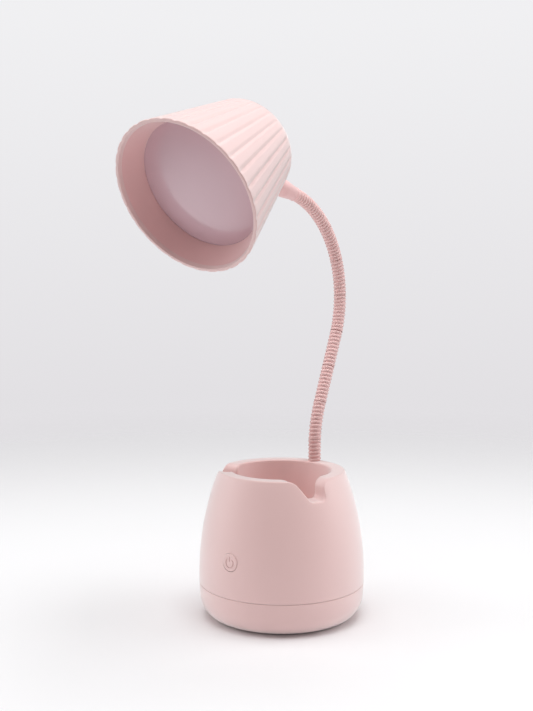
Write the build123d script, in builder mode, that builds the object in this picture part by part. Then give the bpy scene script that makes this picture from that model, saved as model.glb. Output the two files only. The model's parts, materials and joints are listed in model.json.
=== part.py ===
from build123d import *
from math import atan, cos, degrees, pi, radians, sin, sqrt
import os

os.makedirs("parts", exist_ok=True)

# Desk lamp with a pen holder base. Millimetres, origin on the table under the pot's axis,
# front of the lamp toward -Y, neck at the rear toward +Y, +Z up.

# Pot
pot_height = 89.0
pot_radius = 50.0
belly_height = 26.0
side_curve = 172.0
shell_wall = 2.0
shell_bottom = 20.8
parting_gap = 0.4
edge_round = 1.2

# Pen well
rim_width = 8.05
well_taper = 3.0
well_floor_round = 2.0
well_floor_height = 34.0
well_wall = 1.8
well_floor_wall = 2.0

# Rim notches, seen along their own radius: (distance along the rim, height)
notch_angle = 68.0
notch_left = -13.2
notch_floor_left = -5.1
notch_right = 4.7
notch_floor = 77.0

# Base
pad_thickness = 0.8
pad_inset = 1.0
corner_round = 14.2
corner_height = 15.0
cover_floor_top = 3.0
lip_height = 2.6
lip_width = 1.25
lip_clearance = 0.25
inner_round = 10.0
ballast_thickness = 5.0
ballast_clearance = 0.3
post_radius = 3.8
boss_rise = 1.6

# Screws
screw_radius = 1.45
screw_head_radius = 2.8
screw_head_height = 1.8
thread_clearance = 0.03
hole_clearance = 0.25

# Battery and boards
cell_radius = 9.1
cell_length = 65.0
cradle_base = 1.4
cradle_wall = 1.3
board_thickness = 1.2
board_width = 24.0
board_length = 27.0
board_wall_gap = 3.0
board_bottom = 24.0
board_post_x = 8.5
board_post_inset = 6.0
board_post_radius = 2.5
usb_width = 8.94
usb_height = 3.26
usb_length = 7.3
usb_set_back = 1.0

# Button
button_height = 42.3
button_radius = 5.6
button_gap = 0.3
button_proud = 0.3
button_length = 5.65
button_travel = 0.6
guide_radius = 8.2
flange_radius = 7.0
flange_thickness = 1.2
switch_gap = 6.1
rib_inner_x = 7.0
rib_outer_x = 9.2

# Neck
neck_inset = 3.65
neck_seat_depth = 1.5
neck_seat_clearance = 0.1
rib_pitch = 2.35
crest_radius = 3.8
groove_radius = 3.25
crest_width = 1.65
bore_overlap = 0.2
neck_sides = 10
neck_bore = 2.55
nose_ball = 4.6
cup_ball = 4.9
ribs_per_link = 10
first_ribs = 6
link_count = 7
tip_ribs = 6
ferrule_radius = 2.5
ferrule_bore = 1.6
ferrule_reach = 2.0
path = ((9.0, 0.0), (27.3, 22.5), (44.5, 0.0), (111.9, -98.1))

# Neck fixing under the rim
boss_radius = 5.5
boss_bottom = 66.0
nut_flats = 8.0
nut_height = 2.7
washer_radius = 4.4
washer_thickness = 1.0
nut_pocket = 4.9

# Shade, depths measured from the mouth plane toward the back
shade_tilt = 30.0
mouth_radius = 45.8
back_radius = 25.8
shade_depth = 73.4
shoulder_round = 17.3
flute_count = 32
flute_turn = 0.5
flute_depth_mouth = 1.1
flute_depth_back = 0.65
flute_groove_share = 0.55
shade_wall = 2.2
back_wall = 2.0
collar_reach = 45.4
collar_exposed = 29.0
collar_start_radius = 3.95
collar_mid_radius = 5.0
collar_end_radius = 5.3
collar_taper = 12.0
seat_depth = 0.3
head_boss_radius = 7.5
head_boss_end = 33.5
ledge_depth = 18.2
ledge_thickness = 1.6
ledge_width = 2.2
ring_depth = 14.0
ring_width = 1.75
dome_edge_depth = 15.6
dome_rise = 5.6
dome_edge = 1.2
dome_thickness = 1.5
tray_flange = 1.4
tray_taper = 3.4
tray_back_depth = 30.0
tray_wall = 1.2
light_board_inset = 2.8
light_board_thickness = 1.6
tray_post_inset = 3.8
tray_post_radius = 3.2

# Tapered round forms have flat sides, so that the part's mesh stays light
shade_sides = 64
pot_sides = 40
inner_sides = 32
button_sides = 32
collar_sides = 24
small_sides = 10


def outer_radius(z):
    return pot_radius - side_curve + sqrt(side_curve**2 - (z - belly_height) ** 2)


def well_radius(z):
    return well_mouth_radius - well_taper * (pot_height - z) / (pot_height - well_floor_height)


def inner_radius(depth):
    return mouth_radius - shade_wall - depth * (mouth_radius - back_radius) / shade_depth


def steps(first, last, count):
    return [first + (last - first) * k / count for k in range(count + 1)]


def level(z):
    return Plane.XY.offset(z)


def neck_at(s):
    y, z, lean, left = neck_y, pot_height, 0.0, s
    for length, turn in path:
        step = min(left, length)
        bend = radians(turn) * step / length
        if abs(bend) < 1e-9:
            y += step * sin(lean)
            z += step * cos(lean)
        else:
            y += step / bend * (cos(lean) - cos(lean + bend))
            z += step / bend * (sin(lean + bend) - sin(lean))
        lean += bend
        left -= step
    return y + left * sin(lean), z + left * cos(lean), lean


def neck_plane(s):
    y, z, lean = neck_at(s)
    return Plane(origin=(0, y, z), x_dir=(1, 0, 0), z_dir=(0, sin(lean), cos(lean)))


# One band of a tapered form, its wide end on the XY plane
def band(wide, narrow, height, sides):
    slope = (wide - narrow) * cos(pi / sides) / height
    with BuildPart() as form:
        with BuildSketch(Plane.XY):
            RegularPolygon(wide, sides)
        extrude(amount=height, taper=degrees(atan(slope)))
    return form.part


# A tapered form through rings of (height, radius)
def tapered(place, rings, sides):
    bands = []
    for (low, low_radius), (high, high_radius) in zip(rings[:-1], rings[1:]):
        if low_radius >= high_radius:
            piece = band(low_radius, high_radius, high - low, sides)
            bands.append(place(low).location * piece)
        else:
            piece = band(high_radius, low_radius, high - low, sides)
            bands.append((-place(high)).location * piece)
    with BuildPart() as form:
        add(bands)
    return form.part


# Sizes that follow from the driving ones
well_mouth_radius = outer_radius(pot_height) - rim_width
well_floor_radius = well_mouth_radius - well_taper
neck_y = outer_radius(pot_height) - neck_inset
floor_under = well_floor_height - well_floor_wall
hollow_top = pot_height - shell_wall
hollow_low = shell_bottom - 1.0
cover_top = shell_bottom - parting_gap
cover_inner = outer_radius(cover_top) - 2.3
lip_radius = outer_radius(shell_bottom) - shell_wall - lip_clearance
corner_x = outer_radius(corner_height) - corner_round
pad_radius = corner_x - pad_inset
ballast_radius = cover_inner - inner_round - ballast_clearance
post_circle = well_floor_radius + well_wall - 0.5 - post_radius
post_bottom = cover_floor_top + boss_rise
board_top = board_bottom + board_thickness
board_rear = outer_radius(board_bottom) - shell_wall - board_wall_gap
board_front = board_rear - board_length
board_post_y = board_front + board_post_inset
usb_z = board_top + usb_height / 2
usb_mouth_y = outer_radius(usb_z) - usb_set_back
button_face_y = -(outer_radius(button_height) + button_proud)
guide_end_y = button_face_y + button_length
flange_front = guide_end_y + button_gap
flange_back = flange_front + flange_thickness
switch_board_front = guide_end_y + switch_gap
switch_board_back = switch_board_front + board_thickness

# Hinges of the neck
neck_length = rib_pitch * (first_ribs + ribs_per_link * link_count + tip_ribs)
nose_edge = sqrt(nose_ball**2 - crest_radius**2)
nose_end_radius = neck_bore + 0.25
nose_end = sqrt(nose_ball**2 - nose_end_radius**2)
cup_edge = sqrt(cup_ball**2 - crest_radius**2)
cup_end = sqrt(cup_ball**2 - neck_bore**2)
first_hinge = rib_pitch * first_ribs - 0.45 - nose_edge
hinges = [first_hinge + rib_pitch * ribs_per_link * k for k in range(link_count + 1)]

# Shade placed from the neck's end: the collar's line runs through the centre of the
# shoulder's round, so the collar always meets the shoulder squarely.
collar_base = neck_plane(neck_length)
cone_slope = (mouth_radius - back_radius) / shade_depth
cone_angle = atan(cone_slope)
shoulder_depth = shade_depth - shoulder_round
shoulder_radius = mouth_radius - cone_slope * shoulder_depth - shoulder_round / cos(cone_angle)
shade_back = Vector(0, cos(radians(shade_tilt)), sin(radians(shade_tilt)))
shade_down = Vector(0, sin(radians(shade_tilt)), -cos(radians(shade_tilt)))
shoulder_centre = collar_base.origin + collar_base.z_dir * collar_reach
mouth_centre = shoulder_centre - shade_back * shoulder_depth - shade_down * shoulder_radius

# Light unit, from the sizes of the shade's inside
tray_radius = inner_radius(ledge_depth) - ledge_width
tray_back_radius = tray_radius - tray_taper
light_board_radius = tray_back_radius - tray_wall - light_board_inset
tray_post_circle = back_radius - tray_post_inset
flange_depth = ledge_depth - tray_flange
flange_radius_tray = inner_radius(ledge_depth) - 0.4
board_back_depth = tray_back_depth - tray_wall
board_face_depth = board_back_depth - light_board_thickness
ring_inner_radius = inner_radius(dome_edge_depth) - ring_width
dome_radius = ring_inner_radius - 0.1


def collar_plane(distance):
    return collar_base.offset(distance)


def shade_plane(depth):
    return Plane(origin=mouth_centre + shade_back * depth, x_dir=(1, 0, 0), z_dir=shade_back)


def notch_plane(side):
    a = radians(notch_angle)
    return Plane(
        origin=(0, 0, 0), x_dir=(cos(a), side * sin(a), 0), z_dir=(side * sin(a), -cos(a), 0)
    )


def notch_outline(side):
    top = pot_height
    corners = [
        (notch_left, top, 7.0),
        (notch_floor_left, notch_floor, 4.0),
        (notch_right, notch_floor, 2.5),
        (notch_right, top, 5.2),
    ]
    with BuildSketch() as outline:
        with BuildLine():
            Polyline(
                (side * -26, top + 6),
                (side * -26, top),
                *[(side * t, z) for t, z, r in corners],
                (side * 18, top),
                (side * 18, top + 6),
                close=True,
            )
        make_face()
        for t, z, r in corners:
            corner = outline.vertices().sort_by_distance(Vector(side * t, z, 0))[0]
            fillet(corner, radius=r)
    return outline.sketch


# Pot shell: the hollow between the outer wall and the pen well is made first, less the
# bosses and ribs that stay solid, and is then taken out of the full outer form.
side_top = pot_height - edge_round
edge_angles = [radians(45), radians(90)]
side_rings = [(z, outer_radius(z)) for z in steps(shell_bottom, side_top, 4)]
well_rings = [
    (well_floor_height, well_floor_radius - well_floor_round),
    (well_floor_height + well_floor_round, well_radius(well_floor_height + well_floor_round)),
    (side_top, well_mouth_radius),
]
for a in edge_angles:
    z = side_top + edge_round * sin(a)
    side_rings.append((z, outer_radius(side_top) - edge_round * (1 - cos(a))))
    well_rings.append((z, well_mouth_radius + edge_round * (1 - cos(a))))
well_rings.append((pot_height + 1, well_mouth_radius + edge_round))
hollow_rings = [(z, outer_radius(z) - shell_wall) for z in steps(hollow_low, hollow_top, 3)]
well_side = [(z, well_radius(z) + well_wall) for z in (floor_under, hollow_top + 1)]

with BuildPart() as shell_hollow:
    add(tapered(level, hollow_rings, inner_sides))
    add(tapered(level, well_side, inner_sides), mode=Mode.SUBTRACT)
    with BuildSketch(level(boss_bottom)):
        with Locations((0, neck_y)):
            RegularPolygon(boss_radius, small_sides)
    extrude(amount=pot_height - boss_bottom, mode=Mode.SUBTRACT)
    with BuildSketch(level(boss_bottom - 12)):
        with Locations((0, neck_y)):
            RegularPolygon(nut_pocket, small_sides)
    extrude(amount=12)
    for side in (1, -1):
        with BuildSketch(notch_plane(side)):
            add(notch_outline(side))
            offset(amount=shell_wall, kind=Kind.INTERSECTION)
        extrude(amount=pot_radius + 5, mode=Mode.SUBTRACT)
    with BuildSketch(Plane.XZ.offset(-guide_end_y)):
        with Locations((0, button_height)):
            RegularPolygon(guide_radius, small_sides)
    extrude(amount=button_length + 5, mode=Mode.SUBTRACT)
    rib_middle = (switch_board_front - 1.6 - well_floor_radius) / 2
    rib_length = well_floor_radius + switch_board_front - 1.6
    with BuildSketch(level(button_height - 9)):
        for side in (1, -1):
            with Locations((side * (rib_inner_x + rib_outer_x) / 2, rib_middle)):
                Rectangle(rib_outer_x - rib_inner_x, abs(rib_length))
    extrude(amount=17, mode=Mode.SUBTRACT)

with BuildPart() as pot_shell:
    add(tapered(level, side_rings, pot_sides))
    add(shell_hollow.part, mode=Mode.SUBTRACT)
    add(tapered(level, well_rings, inner_sides), mode=Mode.SUBTRACT)
    for side in (1, -1):
        with BuildSketch(notch_plane(side)):
            add(notch_outline(side))
        extrude(amount=pot_radius + 10, mode=Mode.SUBTRACT)
    # Seat and passage of the neck
    with BuildSketch(level(pot_height - neck_seat_depth)):
        with Locations((0, neck_y)):
            RegularPolygon(crest_radius + neck_seat_clearance, neck_sides)
    extrude(amount=neck_seat_depth + 1, mode=Mode.SUBTRACT)
    with BuildSketch(level(boss_bottom - 1)):
        with Locations((0, neck_y)):
            RegularPolygon(ferrule_radius + 0.1, small_sides)
    extrude(amount=pot_height - boss_bottom + 1, mode=Mode.SUBTRACT)
    # Posts for the base screws and the main board hang from the well's floor
    with BuildSketch(level(post_bottom)):
        with PolarLocations(post_circle, 4, start_angle=45):
            RegularPolygon(post_radius, small_sides)
    extrude(amount=floor_under + 0.5 - post_bottom)
    with BuildSketch(level(board_top)):
        with Locations((board_post_x, board_post_y), (-board_post_x, board_post_y)):
            RegularPolygon(board_post_radius, small_sides)
    extrude(amount=floor_under + 0.5 - board_top)
    with BuildSketch(level(post_bottom - 1)):
        with PolarLocations(post_circle, 4, start_angle=45):
            RegularPolygon(screw_radius + thread_clearance, small_sides)
    extrude(amount=15, mode=Mode.SUBTRACT)
    with BuildSketch(level(board_bottom)):
        with Locations((board_post_x, board_post_y), (-board_post_x, board_post_y)):
            RegularPolygon(1.0, small_sides)
    extrude(amount=7, mode=Mode.SUBTRACT)
    # Button bore
    with BuildSketch(Plane.XZ.offset(-guide_end_y - 1)):
        with Locations((0, button_height)):
            RegularPolygon(button_radius + button_gap, button_sides)
    extrude(amount=button_length + 5, mode=Mode.SUBTRACT)
    # Slots of the ribs that hold the switch board
    with BuildSketch(level(button_height - 10)):
        with Locations((0, (switch_board_front + switch_board_back) / 2)):
            Rectangle(2 * rib_inner_x + 2.0, board_thickness + 0.2)
    extrude(amount=17.3, mode=Mode.SUBTRACT)
    # USB opening and the recess for the plug's body
    with BuildSketch(Plane.XZ.offset(-outer_radius(usb_z) + 4)):
        with Locations((0, usb_z)):
            SlotOverall(usb_width + 0.46, usb_height + 0.44)
    extrude(amount=-6, mode=Mode.SUBTRACT)
    with BuildSketch(Plane.XZ.offset(-outer_radius(usb_z) + 0.9)):
        with Locations((0, usb_z)):
            SlotOverall(12.6, 6.4)
    extrude(amount=-3, mode=Mode.SUBTRACT)
pot_shell.part.label = "pot_shell"
export_step(pot_shell.part, "parts/pot_shell.step")

# Base cover: floor, quarter-round corner and the lip that centres it in the shell
cover_rings = []
for a in [radians(k * 30) for k in range(4)]:
    z = pad_thickness + corner_round * (1 - cos(a))
    cover_rings.append((z, corner_x + corner_round * sin(a)))
cover_rings.append((cover_top, outer_radius(cover_top)))
cover_hollow = []
for a in [radians(k * 45) for k in range(3)]:
    z = cover_floor_top + inner_round * (1 - cos(a))
    cover_hollow.append((z, cover_inner - inner_round * (1 - sin(a))))
cover_hollow.append((cover_top - 5, cover_inner))
cover_hollow.append((cover_top - 3, lip_radius - lip_width))
cover_hollow.append((cover_top + lip_height + 1, lip_radius - lip_width))
with BuildPart() as base_cover:
    add(tapered(level, cover_rings, pot_sides))
    with BuildSketch(level(cover_top - 3)):
        RegularPolygon(lip_radius, pot_sides)
    extrude(amount=lip_height + 3)
    add(tapered(level, cover_hollow, inner_sides), mode=Mode.SUBTRACT)
    with BuildSketch(level(cover_floor_top - 0.5)):
        with PolarLocations(post_circle, 4, start_angle=45):
            RegularPolygon(post_radius, small_sides)
    extrude(amount=boss_rise + 0.5)
    with BuildSketch(level(pad_thickness)):
        with PolarLocations(post_circle, 4, start_angle=45):
            RegularPolygon(screw_head_radius + hole_clearance, small_sides)
    extrude(amount=2.0, mode=Mode.SUBTRACT)
    with BuildSketch(level(pad_thickness)):
        with PolarLocations(post_circle, 4, start_angle=45):
            RegularPolygon(screw_radius + hole_clearance, small_sides)
    extrude(amount=6, mode=Mode.SUBTRACT)
base_cover.part.label = "base_cover"
export_step(base_cover.part, "parts/base_cover.step")

with BuildPart() as non_slip_pad:
    with BuildSketch(Plane.XY):
        RegularPolygon(pad_radius, pot_sides)
    extrude(amount=pad_thickness)
non_slip_pad.part.label = "non_slip_pad"
export_step(non_slip_pad.part, "parts/non_slip_pad.step")

with BuildPart() as ballast_plate:
    with BuildSketch(level(cover_floor_top)):
        RegularPolygon(ballast_radius, inner_sides)
        with PolarLocations(post_circle, 4, start_angle=45):
            RegularPolygon(post_radius + 0.8, small_sides, mode=Mode.SUBTRACT)
    extrude(amount=ballast_thickness)
ballast_plate.part.label = "ballast_plate"
export_step(ballast_plate.part, "parts/ballast_plate.step")

screw_seat = pad_thickness + 2.0
with BuildPart() as cover_screws:
    with BuildSketch(level(screw_seat - screw_head_height)):
        with PolarLocations(post_circle, 4, start_angle=45):
            RegularPolygon(screw_head_radius, small_sides)
            RegularPolygon(1.2, 6, mode=Mode.SUBTRACT)
    extrude(amount=1.0)
    with BuildSketch(level(screw_seat - screw_head_height + 1.0)):
        with PolarLocations(post_circle, 4, start_angle=45):
            RegularPolygon(screw_head_radius, small_sides)
    extrude(amount=screw_head_height - 1.0)
    with BuildSketch(level(screw_seat)):
        with PolarLocations(post_circle, 4, start_angle=45):
            RegularPolygon(screw_radius, small_sides)
    extrude(amount=14)
cover_screws.part.label = "cover_screws"
export_step(cover_screws.part, "parts/cover_screws.step")

# Battery cell lying across the base in its cradle, on top of the ballast plate
cradle_floor = cover_floor_top + ballast_thickness
cradle_length = cell_length + 5.4
cradle_width = 2 * (cell_radius + 0.3 + cradle_wall)
cell_z = cradle_floor + cradle_base + 0.2 + cell_radius
with BuildPart() as battery_cradle:
    with BuildSketch(level(cradle_floor)):
        Rectangle(cradle_length, cradle_width)
    extrude(amount=cradle_base)
    with BuildSketch(level(cradle_floor)):
        Rectangle(cradle_length, cradle_width)
        Rectangle(cradle_length - 2 * cradle_wall, cradle_width - 2 * cradle_wall, mode=Mode.SUBTRACT)
    extrude(amount=cell_z - cradle_floor)
    with BuildSketch(level(cell_z - 4)):
        Rectangle(30, cradle_width + 2)
    extrude(amount=10, mode=Mode.SUBTRACT)
battery_cradle.part.label = "battery_cradle"
export_step(battery_cradle.part, "parts/battery_cradle.step")

with BuildPart() as battery_cell:
    with BuildSketch(Plane.YZ.offset(-cell_length / 2)):
        with Locations((0, cell_z)):
            RegularPolygon(cell_radius, 32)
    extrude(amount=cell_length - 1.0)
    with BuildSketch(Plane.YZ.offset(cell_length / 2 - 1.0)):
        with Locations((0, cell_z)):
            RegularPolygon(3.2, small_sides)
    extrude(amount=1.0)
battery_cell.part.label = "battery_cell"
export_step(battery_cell.part, "parts/battery_cell.step")

contact_x = cradle_length / 2 - cradle_wall
with BuildPart() as cell_contacts:
    for side in (1, -1):
        with BuildSketch(Plane.YZ.offset(side * contact_x)):
            with Locations((0, cell_z - 3)):
                Rectangle(7, 11)
        extrude(amount=-side * (contact_x - cell_length / 2))
cell_contacts.part.label = "cell_contacts"
export_step(cell_contacts.part, "parts/cell_contacts.step")

# Main board under the well, screwed up into its two posts
with BuildPart() as main_board:
    with BuildSketch(level(board_bottom)):
        with Locations((0, (board_front + board_rear) / 2)):
            Rectangle(board_width, board_length)
        with Locations((board_post_x, board_post_y), (-board_post_x, board_post_y)):
            RegularPolygon(1.3, small_sides, mode=Mode.SUBTRACT)
    extrude(amount=board_thickness)
main_board.part.label = "main_board"
export_step(main_board.part, "parts/main_board.step")

with BuildPart() as board_parts:
    with BuildSketch(level(board_top)):
        with Locations((-7, board_rear - 12)):
            Rectangle(6, 6)
        with Locations((7, board_rear - 10)):
            Rectangle(4, 5)
        with Locations((0, board_rear - 15)):
            Rectangle(5, 4)
    extrude(amount=2.4)
board_parts.part.label = "board_parts"
export_step(board_parts.part, "parts/board_parts.step")

with BuildPart() as board_screws:
    with BuildSketch(level(board_bottom - 1.5)):
        with Locations((board_post_x, board_post_y), (-board_post_x, board_post_y)):
            RegularPolygon(1.9, small_sides)
    extrude(amount=1.5)
    with BuildSketch(level(board_bottom)):
        with Locations((board_post_x, board_post_y), (-board_post_x, board_post_y)):
            RegularPolygon(0.97, small_sides)
    extrude(amount=6)
board_screws.part.label = "board_screws"
export_step(board_screws.part, "parts/board_screws.step")

with BuildPart() as usb_socket:
    with BuildSketch(Plane.XZ.offset(-usb_mouth_y)):
        with Locations((0, usb_z)):
            SlotOverall(usb_width, usb_height)
    extrude(amount=usb_length)
    with BuildSketch(Plane.XZ.offset(-usb_mouth_y)):
        with Locations((0, usb_z)):
            SlotOverall(usb_width - 0.6, usb_height - 0.6)
    extrude(amount=usb_length - 1.0, mode=Mode.SUBTRACT)
    with BuildSketch(Plane.XZ.offset(-usb_mouth_y + 1.2)):
        with Locations((0, usb_z)):
            Rectangle(6.6, 0.7)
    extrude(amount=usb_length - 1.8)
usb_socket.part.label = "usb_socket"
export_step(usb_socket.part, "parts/usb_socket.step")

# Button with its switch on a small upright board
with BuildPart() as button_board:
    with BuildSketch(Plane.XZ.offset(-switch_board_back)):
        with Locations((0, button_height)):
            Rectangle(2 * rib_inner_x + 1.8, 14.4)
    extrude(amount=board_thickness)
button_board.part.label = "button_board"
export_step(button_board.part, "parts/button_board.step")

switch_front = switch_board_front - 3.4
with BuildPart() as tact_switch:
    with BuildSketch(Plane.XZ.offset(-switch_board_front)):
        with Locations((0, button_height)):
            Rectangle(6.2, 6.2)
    extrude(amount=3.4)
    with BuildSketch(Plane.XZ.offset(-switch_front - 1.7)):
        with Locations((0, button_height)):
            RegularPolygon(1.85, small_sides)
    extrude(amount=2, mode=Mode.SUBTRACT)
tact_switch.part.label = "tact_switch"
export_step(tact_switch.part, "parts/tact_switch.step")

with BuildPart() as power_button:
    with BuildSketch(Plane.XZ.offset(-flange_front)):
        with Locations((0, button_height)):
            RegularPolygon(button_radius, button_sides)
    extrude(amount=flange_front - button_face_y)
    chamfer(power_button.edges().group_by(Axis.Y)[0], length=0.35)
    with BuildSketch(Plane.XZ.offset(-flange_back)):
        with Locations((0, button_height)):
            RegularPolygon(flange_radius, button_sides)
    extrude(amount=flange_thickness)
    with BuildSketch(Plane.XZ.offset(-flange_back)):
        with Locations((0, button_height)):
            RegularPolygon(button_radius - 1.4, small_sides)
            RegularPolygon(1.9, small_sides, mode=Mode.SUBTRACT)
    extrude(amount=flange_back - button_face_y - 1.8, mode=Mode.SUBTRACT)
    # Power sign: a ring open at the top, and a bar
    with BuildSketch(Plane.XZ.offset(-button_face_y - 0.25)):
        with Locations((0, button_height - 0.1)):
            RegularPolygon(2.3, button_sides)
            RegularPolygon(1.75, button_sides, mode=Mode.SUBTRACT)
        with Locations((0, button_height + 2.0)):
            Rectangle(2.2, 2.4, mode=Mode.SUBTRACT)
        with Locations((0, button_height + 1.5)):
            Rectangle(0.55, 2.2)
    extrude(amount=1, mode=Mode.SUBTRACT)
power_button.part.label = "power_button"
export_step(power_button.part, "parts/power_button.step")

with BuildPart() as switch_plunger:
    with BuildSketch(Plane.XZ.offset(-flange_back)):
        with Locations((0, button_height)):
            RegularPolygon(1.7, small_sides)
    extrude(amount=-1.9)
switch_plunger.part.label = "switch_plunger"
export_step(switch_plunger.part, "parts/switch_plunger.step")

# Neck fixing: threaded ferrule, washer and nut under the rim's boss
with BuildPart() as neck_ferrule:
    with BuildSketch(level(boss_bottom - 9)):
        with Locations((0, neck_y)):
            RegularPolygon(ferrule_radius, small_sides)
            RegularPolygon(ferrule_bore, small_sides, mode=Mode.SUBTRACT)
    extrude(amount=pot_height + 8 - boss_bottom + 9)
neck_ferrule.part.label = "neck_ferrule"
export_step(neck_ferrule.part, "parts/neck_ferrule.step")

with BuildPart() as neck_washer:
    with BuildSketch(level(boss_bottom - washer_thickness)):
        with Locations((0, neck_y)):
            RegularPolygon(washer_radius, small_sides)
            RegularPolygon(ferrule_radius + 0.1, small_sides, mode=Mode.SUBTRACT)
    extrude(amount=washer_thickness)
neck_washer.part.label = "neck_washer"
export_step(neck_washer.part, "parts/neck_washer.step")

with BuildPart() as neck_nut:
    with BuildSketch(level(boss_bottom - washer_thickness - nut_height)):
        with Locations((0, neck_y)):
            RegularPolygon(nut_flats / 2, 6, major_radius=False)
            RegularPolygon(ferrule_radius + thread_clearance, small_sides, mode=Mode.SUBTRACT)
    extrude(amount=nut_height)
neck_nut.part.label = "neck_nut"
export_step(neck_nut.part, "parts/neck_nut.step")


# Ribbed neck pieces: a core of short straight lengths from the middle of one rib to the
# next, and a ring on each rib. Each lower piece ends in a nose inside the ball about its
# hinge, and the piece above starts with a cup outside that ball.
def rib_plane(k):
    return neck_plane(k * rib_pitch + crest_width / 2)


def toward(start, end, back):
    run = end.origin - start.origin
    return Plane(origin=start.origin, x_dir=(1, 0, 0), z_dir=run).offset(-back)


def neck_body(low, low_end, first, count, high, high_end):
    last = first + count - 1
    with BuildPart() as piece:
        with BuildSketch(*[toward(rib_plane(k), rib_plane(k + 1), 0) for k in range(first, last)]):
            RegularPolygon(groove_radius, neck_sides)
        extrude(amount=rib_pitch)
        rings = [rib_plane(k).offset(-crest_width / 2) for k in range(first + 1, last)]
        with BuildSketch(*rings):
            RegularPolygon(crest_radius, neck_sides)
        extrude(amount=crest_width)
        with BuildSketch(neck_plane(low).offset(low_end)):
            RegularPolygon(crest_radius, neck_sides)
        extrude(amount=first * rib_pitch + crest_width - low - low_end)
        last_length = high + high_end - last * rib_pitch
        with BuildSketch(neck_plane(high).offset(high_end - last_length)):
            RegularPolygon(crest_radius, neck_sides)
        extrude(amount=last_length)
    return piece.part


def neck_hollow(start, end, parts):
    planes = [neck_plane(s) for s in steps(start, end, parts)]
    with BuildPart() as hollow:
        with BuildSketch(*[toward(a, b, bore_overlap) for a, b in zip(planes[:-1], planes[1:])]):
            RegularPolygon(neck_bore, neck_sides, major_radius=False)
        extrude(amount=(end - start) / parts + 2 * bore_overlap)
    return hollow.part


def neck_nose(hinge):
    nose = band(crest_radius, nose_end_radius, nose_end - nose_edge, neck_sides)
    return neck_plane(hinge).offset(nose_edge).location * nose


def neck_cup(hinge):
    steep = (crest_radius - neck_bore) / (cup_end - cup_edge)
    cup = band(crest_radius + 0.2 * steep, neck_bore, cup_end - cup_edge + 0.2, neck_sides)
    return neck_plane(hinge).offset(cup_edge - 0.2).location * cup


cup_lip = cup_edge + 0.22
with BuildPart() as neck_stub:
    add(neck_body(0, -neck_seat_depth, 0, first_ribs, hinges[0], nose_edge))
    add(neck_nose(hinges[0]))
    add(neck_hollow(-neck_seat_depth - 1, path[0][0], 1), mode=Mode.SUBTRACT)
    add(neck_hollow(path[0][0], hinges[0] + nose_end + 0.5, 1), mode=Mode.SUBTRACT)
neck_stub.part.label = "neck_stub"
export_step(neck_stub.part, "parts/neck_stub.step")

for number in range(1, link_count + 1):
    low = hinges[number - 1]
    high = hinges[number]
    first = first_ribs + ribs_per_link * (number - 1)
    with BuildPart() as neck_link:
        add(neck_body(low, cup_lip, first, ribs_per_link, high, nose_edge))
        add(neck_nose(high))
        add(neck_hollow(low + cup_edge, high + nose_end + 0.5, 3), mode=Mode.SUBTRACT)
        add(neck_cup(low), mode=Mode.SUBTRACT)
    neck_link.part.label = "neck_link_" + str(number)
    export_step(neck_link.part, "parts/neck_link_" + str(number) + ".step")

tip_start = first_ribs + ribs_per_link * link_count
with BuildPart() as neck_tip:
    add(neck_body(hinges[-1], cup_lip, tip_start, tip_ribs, neck_length, 0))
    add(neck_hollow(hinges[-1] + cup_edge, neck_length + 0.5, 2), mode=Mode.SUBTRACT)
    add(neck_cup(hinges[-1]), mode=Mode.SUBTRACT)
    with BuildSketch(collar_plane(-ferrule_reach - 0.2)):
        RegularPolygon(neck_bore, neck_sides, major_radius=False)
    extrude(amount=ferrule_reach + 1, mode=Mode.SUBTRACT)
neck_tip.part.label = "neck_tip"
export_step(neck_tip.part, "parts/neck_tip.step")

# Collar between the neck and the shade's shoulder
collar_rings = [
    (0, collar_start_radius),
    (collar_taper, collar_mid_radius),
    (collar_exposed, collar_end_radius),
]
with BuildPart() as neck_collar:
    add(tapered(collar_plane, collar_rings, collar_sides))
    with BuildSketch(collar_plane(0)):
        RegularPolygon(ferrule_radius + 0.05, small_sides)
    extrude(amount=collar_exposed, mode=Mode.SUBTRACT)
neck_collar.part.label = "neck_collar"
export_step(neck_collar.part, "parts/neck_collar.step")

with BuildPart() as head_ferrule:
    with BuildSketch(collar_plane(-ferrule_reach)):
        RegularPolygon(ferrule_radius, small_sides)
        RegularPolygon(ferrule_bore, small_sides, mode=Mode.SUBTRACT)
    extrude(amount=ferrule_reach + head_boss_end + 5)
head_ferrule.part.label = "head_ferrule"
export_step(head_ferrule.part, "parts/head_ferrule.step")

with BuildPart() as head_nut:
    with BuildSketch(collar_plane(head_boss_end)):
        RegularPolygon(nut_flats / 2, 6, major_radius=False)
        RegularPolygon(ferrule_radius + thread_clearance, small_sides, mode=Mode.SUBTRACT)
    extrude(amount=nut_height)
head_nut.part.label = "head_nut"
export_step(head_nut.part, "parts/head_nut.step")


# Shade: a tapered form with a round shoulder, whose flutes are the ridges left between
# shallow V grooves. A groove's bottom line runs from the mouth to the shoulder, rising
# toward the skin, so that the grooves narrow with the cone and run out on the shoulder.
groove_half = radians(180 / flute_count) * mouth_radius * flute_groove_share
groove_start = mouth_radius - flute_depth_mouth
groove_end = back_radius - flute_depth_back
groove_run = sqrt((groove_start - groove_end) ** 2 + shade_depth**2)


def groove_plane(k):
    a = 2 * pi * (k + flute_turn) / flute_count
    out = Vector(1, 0, 0) * cos(a) + shade_plane(0).y_dir * sin(a)
    along = shade_back * shade_depth - out * (groove_start - groove_end)
    across = Vector(1, 0, 0) * -sin(a) + shade_plane(0).y_dir * cos(a)
    start = mouth_centre + out * groove_start - along * 0.02
    return Plane(origin=start, x_dir=across, z_dir=along)


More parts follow.
